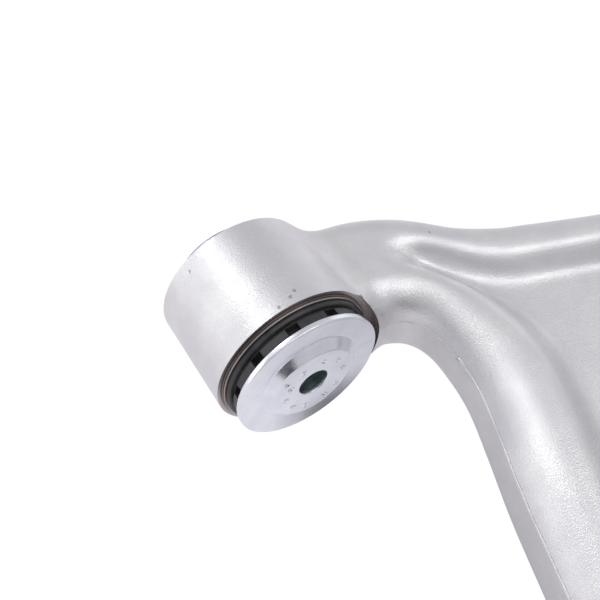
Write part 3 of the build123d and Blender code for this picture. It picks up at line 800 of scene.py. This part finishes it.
# %% Ball joint
housing = turned("ball_housing", [
    (16, -24, 0.4), (21, -24, 1.2), (21, -17, 0.2), (26.5, -17, 0.8), (26.5, -14, 0.5), (22, -14, 0.1), (22, 14, 0.1),
    (20.8, 14, 0.1), (20.8, 15.8, 0.1), (21.5, 15.8, 0.2), (21.5, 17.5, 0.2), (19.8, 17.5, 0.1), (19.8, 20.5, 0.1), (21, 20.5, 0.3),
    (21, 22, 0.5), (18, 22, 0.6), (13.2, 11, 0.8), (13.2, 8, 0.2), (17.5, 8), (17.5, -17.5), (18.6, -17.5), (18.6, -20.5), (16, -20.5, 0.2)],
    "z", BALL)
stands_for(housing, "arm", "ball_joint_housing")
cap = turned("ball_cap", [(0, -20.45), (14, -20.45, 1.0), (14.5, -20.0, 0.5), (18.5, -20.0, 0.2), (18.5, -17.6, 0.2), (0, -17.6)], "z", BALL, 120)
stands_for(cap, "arm", "ball_joint_end_cap")

PITCH = 1.5
ball_arc = np.radians(np.linspace(-70, 58.9, 40))
thread_h = np.arange(58.8, 84.0, 0.25)
stud_outline = [(0, -13.65)] + [(14.5 * np.cos(a), 14.5 * np.sin(a)) for a in ball_arc]
stud_outline += [(7.5, 13.2, 0.5), (7.5, 26, 2), (9.0, 30, 1), (9.0, 37.4, 0.3), (8.8, 38, 0.2), (7.6, 58, 0.3), (6.9, 58.7)]
stud_outline += [(6.9, h) for h in thread_h] + [(6.9, 84.0), (5.4, 85.45, 0.2), (0, 85.45)]


def thread(r, h, a):
    """A rounded V thread: the radius falls by a wave of the height less a pitch for each turn."""
    wave = 0.5 - 0.5 * np.cos(2 * np.pi * (h / PITCH - a / (2 * np.pi)))
    ends = ease((h - 59.3) / 1.5) * ease((84.2 - h) / 0.8)
    return np.where((h > 59) & (h < 84.3), -0.62 * wave * ends, 0.0)


stud = turned("ball_stud", stud_outline, "z", BALL, 120, thread)
cut_away(stud, [bar("pin_hole", 0.0017, -0.02, 0.02, "x", BALL + [0, 0, 0.075], 24)])
stud.data.polygons.foreach_set("use_smooth", np.ones(len(stud.data.polygons), bool))
stud.data.set_sharp_from_angle(angle=np.radians(50))
stands_for(stud, "ball_stud", "ball_stud")
print("housing, cap and stud with", round(25 / PITCH), "threads")

# %% [markdown]
# The boot is one turned outline, thin in its belly and thick at its beads.

# %% Boot and wires
boot = turned("dust_boot", [
    (19.8, 17.6, 0.2), (24.2, 17.6, 0.5), (24.2, 20.5, 1.2), (27, 24, 2.4), (27, 28, 2.4), (23, 32.5, 2.5), (14.5, 33.4, 1.2),
    (12.6, 34, 0.4), (12.6, 37.4, 0.7), (9, 37.4, 0.2), (9, 31.4, 0.3), (13, 31, 0.8), (21.8, 30.4, 2.0), (24.6, 27.4, 1.6),
    (24.6, 25, 1.4), (22.3, 22.3, 0.8), (21.3, 20.5, 0.2), (19.8, 20.4, 0.1)], "z", BALL)
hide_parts("dust_boot")
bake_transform(boot)
made["dust_boot"] = boot


def wire(name, path, radius, closed, sides=14):
    """Round wire along a path in metres. At each place two directions square to the path are found
    from a fixed one that the path never follows, and a circle is drawn in them."""
    path = np.asarray(path, float)
    ahead = np.roll(path, -1, 0) - np.roll(path, 1, 0)
    if not closed:
        ahead[0], ahead[-1] = path[1] - path[0], path[-1] - path[-2]
    ahead /= np.linalg.norm(ahead, axis=1)[:, None]
    spread = np.ptp(path, axis=0)
    fixed = np.eye(3)[int(np.argmin(spread))]
    one = np.cross(ahead, fixed)
    one /= np.linalg.norm(one, axis=1)[:, None]
    two = np.cross(ahead, one)
    a = np.linspace(0, 2 * np.pi, sides, endpoint=False)
    verts = path[:, None] + radius * (np.cos(a)[None, :, None] * one[:, None] + np.sin(a)[None, :, None] * two[:, None])
    rows = len(path)
    i, j = np.meshgrid(np.arange(rows if closed else rows - 1), np.arange(sides), indexing="ij")
    ni, nj = (i + 1) % rows, (j + 1) % sides
    faces = np.stack([i * sides + j, i * sides + nj, ni * sides + nj, ni * sides + j], -1).reshape(-1, 4)
    faces = [tuple(f) for f in faces.tolist()]
    if not closed:
        faces += [tuple(range(sides))[::-1], tuple(range((rows - 1) * sides, rows * sides))]
    return mesh_object(name, verts.reshape(-1, 3), faces)


circle = np.linspace(0, 2 * np.pi, 160, endpoint=False)
for node, body, name, r, h, thick in (
        ("boot_lower_clamp", "arm", "boot_lower_wire", 25.1, 19.0, 0.88), ("boot_upper_clamp", "stud_tilt", "boot_upper_wire", 13.4, 35.7, 0.78)):
    loop = np.column_stack([r * np.cos(circle), r * np.sin(circle), np.full(160, h)]) * MM + BALL
    stands_for(wire(name, loop, thick * MM, True), body, node)
bend = np.radians(np.linspace(-152, 152, 34))
pin_path = [(-16.2 - 2.6 * np.cos(a), 2.6 * np.sin(a)) for a in bend[::-1]]
eye_mid = np.array(pin_path)
pin_path = np.concatenate([eye_mid, smooth_curve([(-13.4, -0.5), (-12.0, 0.0), (9.5, 0.0), (10.9, 0.35), (11.5, 1.6), (11.6, 3.0), (11.6, 6.3)], 6, False)])
pin_path = np.column_stack([pin_path[:, 0], np.zeros(len(pin_path)), pin_path[:, 1] + 75.0]) * MM + BALL
stands_for(wire("split_pin", pin_path, 1.12 * MM, False), "ball_stud", "cotter_pin")
nut_bevel = nodes["castle_nut"].modifiers.new("soft_edges", "BEVEL")
nut_bevel.width = 0.35 * MM
nut_bevel.segments = 2
nut_bevel.limit_method = "ANGLE"
nut_bevel.angle_limit = np.radians(35)
print("boot, two wires, split pin")

# %% [markdown]
# ## Finishes
# Shared effects are small node groups: one idea each, fed by the piece's own coordinates, so every
# finish keeps its size in millimetres wherever the piece is. A group only gives masks and heights.
# Each material mixes them into the inputs of its own shader.

# %% Node tools


class Tree:
    """Short hands for a node tree: make a node with its settings and inputs, and join sockets."""

    def __init__(self, tree):
        self.tree = tree

    def add(self, kind, inputs=None, **settings):
        node = self.tree.nodes.new("ShaderNode" + kind)
        for key, value in settings.items():
            setattr(node, key, value)
        for key, value in (inputs or {}).items():
            if isinstance(value, bpy.types.NodeSocket):
                self.tree.links.new(value, node.inputs[key])
            else:
                node.inputs[key].default_value = value
        return node

    def math(self, operation, a, b=0.0, clamp=False):
        return self.add("Math", {0: a, 1: b}, operation=operation, use_clamp=clamp).outputs[0]

    def ramp(self, value, low, high, to_low=0.0, to_high=1.0):
        wanted = {"Value": value, "From Min": low, "From Max": high, "To Min": to_low, "To Max": to_high}
        return self.add("MapRange", wanted, interpolation_type="SMOOTHSTEP").outputs["Result"]

    def noise(self, where, per_metre, detail=2.0, roughness=0.5):
        wanted = {"Vector": where, "Scale": per_metre, "Detail": detail, "Roughness": roughness}
        return self.add("TexNoise", wanted).outputs["Fac"]


def effect(name, inputs, outputs, build):
    """A node group with its sockets made by name. Build gets the tree tools and the inputs, and gives
    the value of each output by name."""
    tree = bpy.data.node_groups.new(name, "ShaderNodeTree")
    for label, kind, value in inputs:
        socket = tree.interface.new_socket(label, in_out="INPUT", socket_type=kind)
        if value is not None:
            socket.default_value = value
    for label in outputs:
        tree.interface.new_socket(label, in_out="OUTPUT", socket_type="NodeSocketFloat")
    tools = Tree(tree)
    entry, leave = tree.nodes.new("NodeGroupInput"), tree.nodes.new("NodeGroupOutput")
    for label, value in build(tools, entry.outputs).items():
        tree.links.new(value, leave.inputs[label])
    return tree


VECTOR, FLOAT = "NodeSocketVector", "NodeSocketFloat"

# %% [markdown]
# Shot blasting leaves a skin of tiny craters. Two sizes of noise give it: a fine one that makes the
# highlights sparkle and a coarser one that breaks them up. Tone is a slow, soft stain over both.

# %% Blasted skin, stains, pits and turned lines


def build_skin(t, i):
    fine = t.noise(i["Vector"], 1500.0, 2.0, 0.6)
    coarse = t.noise(i["Vector"], 420.0, 3.0, 0.55)
    height = t.math("ADD", fine, t.math("MULTIPLY", coarse, 0.25))
    return {"Height": height, "Sparkle": t.ramp(fine, 0.50, 0.72)}


def build_stain(t, i):
    slow = t.noise(i["Vector"], i["Per Metre"], 5.0, 0.6)
    specks = t.noise(i["Vector"], 900.0, 1.0)
    return {"Tone": t.ramp(slow, 0.35, 0.68), "Specks": t.ramp(specks, 0.76, 0.80)}


def build_pit(t, i):
    shift = t.noise(i["Vector"], 700.0, 2.0)
    apart = t.add("VectorMath", {0: i["Vector"], 1: i["Centre"]}, operation="DISTANCE").outputs["Value"]
    ragged = t.math("ADD", apart, t.math("MULTIPLY", t.math("SUBTRACT", shift, 0.44), 0.0034))
    share = t.math("DIVIDE", ragged, i["Radius"])
    return {"Mask": t.ramp(share, 0.45, 1.0, 1.0, 0.0)}


def build_lathe(t, i):
    """Lines round an axis: a noise that is stretched without end along the cut, so that it only
    changes with the distance from the axis and with the height."""
    split = t.add("SeparateXYZ", {0: i["Vector"]})
    x = t.math("SUBTRACT", split.outputs["X"], i["X"])
    across = t.add("Mix", {"Factor": i["Upright"], "A": split.outputs["Z"], "B": t.math("SUBTRACT", split.outputs["Y"], i["Y"])})
    along = t.add("Mix", {"Factor": i["Upright"], "A": split.outputs["Y"], "B": split.outputs["Z"]})
    r = t.math("SQRT", t.math("ADD", t.math("MULTIPLY", x, x), t.math("MULTIPLY", across.outputs[0], across.outputs[0])))
    where = t.add("CombineXYZ", {"X": r, "Y": along.outputs[0]}).outputs[0]
    lines = t.noise(where, 2600.0, 2.0, 0.7)
    bands = t.noise(where, 420.0, 1.0)
    return {"Lines": lines, "Bands": t.ramp(bands, 0.35, 0.65)}


skin = effect("blasted_skin", [("Vector", VECTOR, None)], ["Height", "Sparkle"], build_skin)
stain = effect("slow_stain", [("Vector", VECTOR, None), ("Per Metre", FLOAT, 45.0)], ["Tone", "Specks"], build_stain)
pit = effect("ragged_pit", [("Vector", VECTOR, None), ("Centre", VECTOR, None), ("Radius", FLOAT, 0.001)], ["Mask"], build_pit)
lathe = effect(
    "turned_lines",
    [("Vector", VECTOR, None), ("X", FLOAT, 0.0), ("Y", FLOAT, 0.0), ("Upright", FLOAT, 0.0)],
    ["Lines", "Bands"], build_lathe)
print("effects:", [g.name for g in bpy.data.node_groups])

# %% Materials


def material(name):
    """A new material: its tree tools, its shader, and the piece's own coordinates."""
    made_material = bpy.data.materials.new(name)
    made_material.use_nodes = True
    t = Tree(made_material.node_tree)
    return made_material, t, t.tree.nodes["Principled BSDF"], t.add("TexCoord").outputs["Object"]


def use(t, group, **inputs):
    """A node that uses a shared effect; an underscore in an input's name stands for a space."""
    node = t.tree.nodes.new("ShaderNodeGroup")
    node.node_tree = group
    for key, value in inputs.items():
        key = key.replace("_", " ")
        if isinstance(value, bpy.types.NodeSocket):
            t.tree.links.new(value, node.inputs[key])
        else:
            node.inputs[key].default_value = value
    return node.outputs


def blend_colour(t, factor, a, b):
    """A mix of two colours or colour sockets."""
    node = t.add("Mix", data_type="RGBA")
    for key, value in (("Factor", factor), ("A", a), ("B", b)):
        index = {"Factor": 0, "A": 6, "B": 7}[key]
        if isinstance(value, bpy.types.NodeSocket):
            t.tree.links.new(value, node.inputs[index])
        else:
            node.inputs[index].default_value = value if key == "Factor" else (*value, 1.0)
    return node.outputs[2]


def feed(t, shader, colour, roughness, height, depth, metallic):
    """Joins the colour, roughness and bump to the shader. Depth is the bump's size in metres."""
    t.tree.links.new(colour, shader.inputs["Base Color"])
    t.tree.links.new(roughness, shader.inputs["Roughness"])
    shader.inputs["Metallic"].default_value = metallic
    bump = t.add("Bump", {"Height": height, "Distance": depth, "Strength": 1.0})
    t.tree.links.new(bump.outputs[0], shader.inputs["Normal"])


PITS = [((-0.0232, 0.0193, 0.0277), 0.0009), ((0.0044, -0.0192, 0.0374), 0.0010), ((0.0011, -0.0212, 0.0377), 0.0007),
        ((-0.0056, -0.0229, 0.0374), 0.0009), ((-0.0355, 0.0161, 0.0074), 0.0007), ((-0.0245, 0.0165, 0.0268), 0.0006),
        ((0.0825, -0.0113, 0.0153), 0.0008)]


def forged_aluminium():
    """Blasted aluminium, with pits where scale was pressed in. Where a tool has cut the skin away the
    milled attribute is 1, and the surface is smoother, browner with oil, and lined by the tool."""
    m, t, shader, where = material("forged_aluminium")
    grain, slow = use(t, skin, Vector=where), use(t, stain, Vector=where, Per_Metre=45.0)
    milled = t.add("Attribute", attribute_name="milled").outputs["Fac"]
    cut = use(t, lathe, Vector=where)
    colour = blend_colour(t, slow["Tone"], (0.765, 0.76, 0.78), (0.825, 0.822, 0.825))
    colour = blend_colour(t, t.math("MULTIPLY", slow["Specks"], 0.35), colour, (0.45, 0.43, 0.42))
    pits = None
    for centre, radius in PITS:
        mask = use(t, pit, Vector=where, Centre=centre, Radius=radius)["Mask"]
        pits = mask if pits is None else t.math("MAXIMUM", pits, mask)
    colour = blend_colour(t, t.math("MULTIPLY", pits, 0.55), colour, (0.22, 0.22, 0.25))
    tool = blend_colour(t, cut["Bands"], (0.42, 0.37, 0.36), (0.70, 0.65, 0.64))
    colour = blend_colour(t, milled, colour, tool)
    rough = t.math("ADD", t.math("MULTIPLY", slow["Tone"], -0.05), 0.44)
    rough = t.math("SUBTRACT", rough, t.math("MULTIPLY", grain["Sparkle"], 0.08))
    rough = t.math("SUBTRACT", rough, t.math("MULTIPLY", milled, 0.12))
    plain = t.math("SUBTRACT", 1.0, milled)
    height = t.math("MULTIPLY", t.math("SUBTRACT", grain["Height"], t.math("MULTIPLY", pits, 2.5)), plain)
    height = t.math("ADD", height, t.math("MULTIPLY", t.math("MULTIPLY", cut["Lines"], milled), 0.3))
    feed(t, shader, colour, rough, height, 0.00018, 1.0)
    return m


def zinc_plate(name, x, y, upright, light, dark, smooth):
    """Bright zinc over pressed or turned steel: soft bluish smudges, a crystalline sparkle, fine lines."""
    m, t, shader, where = material(name)
    grain, slow = use(t, skin, Vector=where), use(t, stain, Vector=where, Per_Metre=90.0)
    lines = use(t, lathe, Vector=where, X=x, Y=y, Upright=upright)
    colour = blend_colour(t, slow["Tone"], dark, light)
    colour = blend_colour(t, t.math("MULTIPLY", slow["Specks"], 0.3), colour, (0.5, 0.48, 0.42))
    rough = t.math("ADD", t.math("MULTIPLY", slow["Tone"], 0.10), smooth)
    height = t.math("ADD", t.math("MULTIPLY", grain["Height"], 0.8), t.math("MULTIPLY", lines["Lines"], 0.5))
    feed(t, shader, colour, rough, height, 0.00003, 1.0)
    return m, t, shader, where, colour


def flange_zinc():
    """The plate of the flange, with a dab of green inspection paint at the foot of the hub."""
    m, t, shader, where, colour = zinc_plate("flange_zinc", 0.0, 0.0, 0.0, (0.90, 0.92, 0.97), (0.80, 0.825, 0.885), 0.17)
    dab = use(t, pit, Vector=where, Centre=(-0.0078, -0.0386, -0.0225), Radius=0.0012)["Mask"]
    t.tree.links.new(blend_colour(t, dab, colour, (0.03, 0.45, 0.38)), shader.inputs["Base Color"])
    t.tree.links.new(t.math("SUBTRACT", 1.0, dab), shader.inputs["Metallic"])
    return m


def turned_steel(name, x, y, upright, light, dark, smooth):
    """Bare or oiled steel with the lines of the lathe."""
    m, t, shader, where = material(name)
    lines, slow = use(t, lathe, Vector=where, X=x, Y=y, Upright=upright), use(t, stain, Vector=where, Per_Metre=120.0)
    colour = blend_colour(t, lines["Bands"], dark, light)
    colour = blend_colour(t, t.math("MULTIPLY", slow["Tone"], 0.35), colour, dark)
    rough = t.math("ADD", t.math("MULTIPLY", slow["Tone"], 0.12), smooth)
    feed(t, shader, colour, rough, lines["Lines"], 0.00002, 1.0)
    return m


def soft(name, light, dark, smooth, depth):
    """Moulded rubber or plastic: a satin skin, greyed in places by dust and bloom."""
    m, t, shader, where = material(name)
    grain, slow = use(t, skin, Vector=where), use(t, stain, Vector=where, Per_Metre=150.0)
    colour = blend_colour(t, slow["Tone"], dark, light)
    rough = t.math("ADD", t.math("MULTIPLY", slow["Tone"], 0.15), smooth)
    feed(t, shader, colour, rough, grain["Height"], depth, 0.0)
    return m


rear_at, ball_at = (float(REAR[0]), float(REAR[1])), (float(BALL[0]), float(BALL[1]))
looks = {
    "forging": forged_aluminium(),
    "flange": flange_zinc(),
    "washer": zinc_plate("washer_zinc", 0.0, 0.0, 0.0, (0.36, 0.40, 0.55), (0.14, 0.16, 0.26), 0.25)[0],
    "front_tube": turned_steel("bore_steel", 0.0, 0.0, 0.0, (0.72, 0.84, 0.84), (0.42, 0.52, 0.52), 0.34),
    "rear_core": zinc_plate("core_zinc", *rear_at, 1.0, (0.84, 0.86, 0.90), (0.70, 0.73, 0.79), 0.24)[0],
    "sleeve": turned_steel("sleeve_steel", 0.0, 0.0, 0.0, (0.52, 0.47, 0.44), (0.20, 0.18, 0.175), 0.32),
    "rear_can": turned_steel("can_steel", *rear_at, 1.0, (0.42, 0.37, 0.34), (0.22, 0.195, 0.185), 0.34),
    "rubber": soft("bush_rubber", (0.050, 0.050, 0.054), (0.022, 0.022, 0.024), 0.36, 0.00004),
    "boot": soft("boot_rubber", (0.040, 0.040, 0.042), (0.022, 0.022, 0.024), 0.42, 0.00002),
    "seat": soft("seat_plastic", (0.86, 0.85, 0.79), (0.80, 0.79, 0.72), 0.38, 0.00002),
    "housing": turned_steel("housing_coat", *ball_at, 1.0, (0.10, 0.10, 0.11), (0.06, 0.06, 0.065), 0.38),
    "cap": zinc_plate("cap_zinc", *ball_at, 1.0, (0.80, 0.80, 0.76), (0.66, 0.67, 0.66), 0.30)[0],
    "stud": turned_steel("stud_steel", *ball_at, 1.0, (0.52, 0.52, 0.53), (0.34, 0.34, 0.35), 0.28),
    "nut": zinc_plate("nut_zinc", *ball_at, 1.0, (0.80, 0.81, 0.80), (0.66, 0.67, 0.66), 0.26)[0],
    "spring": turned_steel("spring_steel", *ball_at, 1.0, (0.34, 0.34, 0.35), (0.20, 0.20, 0.21), 0.34),
}
LOOK = {
    "front_bush_outer_sleeve": "sleeve", "front_bush_rubber": "rubber", "front_bush_inner_sleeve": "front_tube",
    "front_bush_near_flange": "flange", "front_bush_near_stop_ring": "rubber", "front_bush_far_stop_ring": "rubber",
    "front_bush_far_washer": "washer", "rear_bush_outer_can": "rear_can", "rear_bush_rubber": "rubber",
    "rear_bush_core": "rear_core", "ball_joint_housing": "housing", "ball_joint_seat": "seat",
    "ball_joint_end_cap": "cap", "ball_joint_snap_ring": "spring", "ball_stud": "stud", "castle_nut": "nut",
    "cotter_pin": "nut", "dust_boot": "boot", "boot_lower_clamp": "spring", "boot_upper_clamp": "spring"}
for piece in [arm] + flashes:
    piece.data.materials.clear()
    piece.data.materials.append(looks["forging"])
for name, look in LOOK.items():
    piece = made.get(name, nodes[name])
    piece.data.materials.clear()
    piece.data.materials.append(looks[look])
print("materials:", len(looks), "on", len(LOOK) + 1 + len(flashes), "pieces")

# %% Stage and lights
scene = bpy.context.scene
scene.view_settings.view_transform = "Standard"


def glow(name, seen, felt):
    """A glowing floor: one brightness to the eye, and another for the light it gives. That light carries a
    painted shadow: it falls off under the arm and under the flange, as their own shade would make it."""
    material = bpy.data.materials.new(name)
    material.use_nodes = True
    tree = material.node_tree
    tree.nodes.clear()
    out = tree.nodes.new("ShaderNodeOutputMaterial")
    path = tree.nodes.new("ShaderNodeLightPath")
    shade = Tree(tree)
    where = shade.add("TexCoord").outputs["Object"]
    squeezed = shade.add("VectorMath", {0: where, 1: (0.5, 1.0, 1.0)}, operation="MULTIPLY").outputs["Vector"]
    under_arm, under_flange = (shade.add("VectorMath", {0: place, 1: middle}, operation="DISTANCE").outputs["Value"]
                               for place, middle in ((where, (0.14, -0.16, FLOOR_Z)), (squeezed, (0.007, -0.040, FLOOR_Z))))
    # painted shadow: the glow that lights the pieces is dimmed under the arm and under the flange
    shaded = shade.math("MULTIPLY", shade.ramp(under_arm, 0.06, 0.20, *felt), shade.ramp(under_flange, 0.002, 0.017, 0.3, 1.0))
    strength = tree.nodes.new("ShaderNodeMix")
    tree.links.new(shaded, strength.inputs["A"])
    strength.inputs["B"].default_value = seen
    emission = tree.nodes.new("ShaderNodeEmission")
    emission.inputs["Color"].default_value = (0.972, 0.952, 1.0, 1.0)
    tree.links.new(path.outputs["Is Camera Ray"], strength.inputs["Factor"])
    tree.links.new(strength.outputs["Result"], emission.inputs["Strength"])
    clear = shade.add("BsdfTransparent")
    below = shade.add("MixShader", {0: shade.add("NewGeometry").outputs["Backfacing"], 1: emission.outputs[0], 2: clear.outputs[0]})
    tree.links.new(below.outputs[0], out.inputs["Surface"])
    return material


FLOOR_Z = cad_low.z
side = 3.0
floor = new_object("floor", [(-side, -side, FLOOR_Z), (side, -side, FLOOR_Z), (side, side, FLOOR_Z), (-side, side, FLOOR_Z)],
                   [(0, 1, 2, 3)], smooth=False)
floor.data.materials.append(glow("floor", 1.06, (0.39, 0.83)))

world = bpy.data.worlds.new("world")
scene.world = world
world.use_nodes = True
sky = Tree(world.node_tree)
backdrop = blend_colour(sky, sky.add("LightPath").outputs["Is Camera Ray"], (0.565, 0.56, 0.585), (1.0, 1.0, 1.0))
world.node_tree.links.new(backdrop, world.node_tree.nodes["Background"].inputs["Color"])


def softbox(name, direction, distance, size, radiance):
    """An area light that faces the bush; a light's power is radiance times area times pi."""
    direction = np.array(direction) / np.linalg.norm(direction)
    data = bpy.data.lights.new(name, "AREA")
    data.shape = "RECTANGLE"
    data.size, data.size_y = size
    data.energy = radiance * size[0] * size[1] * np.pi
    lamp = bpy.data.objects.new(name, data)
    scene.collection.objects.link(lamp)
    back = direction
    right = np.cross([0, 0, 1], back) if abs(back[2]) < 0.99 else np.array([1.0, 0, 0])
    right /= np.linalg.norm(right)
    place = np.eye(4)
    place[:3, 0], place[:3, 1], place[:3, 2] = right, np.cross(back, right), back
    place[:3, 3] = direction * distance
    lamp.matrix_world = Matrix(place.tolist())
    lamp.visible_camera = False
    return lamp


softbox("left_box", (-0.38, 0.6, 0.70), 1.3, (1.1, 1.1), 0.32)
softbox("left_core", (-0.28, 0.62, 0.73), 1.25, (0.35, 0.35), 4.2)
softbox("low_left_box", (-0.82, 0.5, 0.26), 1.2, (0.7, 0.7), 0.8)
softbox("right_box", (0.88, 0.30, 0.25), 1.4, (0.7, 0.7), 0.45)
softbox("top_box", (0.34, -0.18, 0.92), 1.3, (0.55, 0.55), 1.7)
softbox("near_box", (-0.03, -0.30, 0.94), 1.4, (0.55, 0.55), 1.5)


def card(name, direction, distance, size):
    """A dark card out of the picture, whose reflection gives bright metal its dark side."""
    back = np.array(direction) / np.linalg.norm(direction)
    right = np.cross([0, 0, 1], back)
    right /= np.linalg.norm(right)
    up = np.cross(back, right)
    corners = [back * distance + right * a * size[0] / 2 + up * b * size[1] / 2 for a, b in ((-1, -1), (1, -1), (1, 1), (-1, 1))]
    plate = new_object(name, corners, [(0, 1, 2, 3)], smooth=False)
    plate.data.materials.append(soft(name, (0.03, 0.03, 0.03), (0.02, 0.02, 0.02), 0.9, 0.00002))
    plate.visible_camera = False


card("dark_card", (-0.55, -0.80, 0.28), 1.0, (0.9, 0.42))
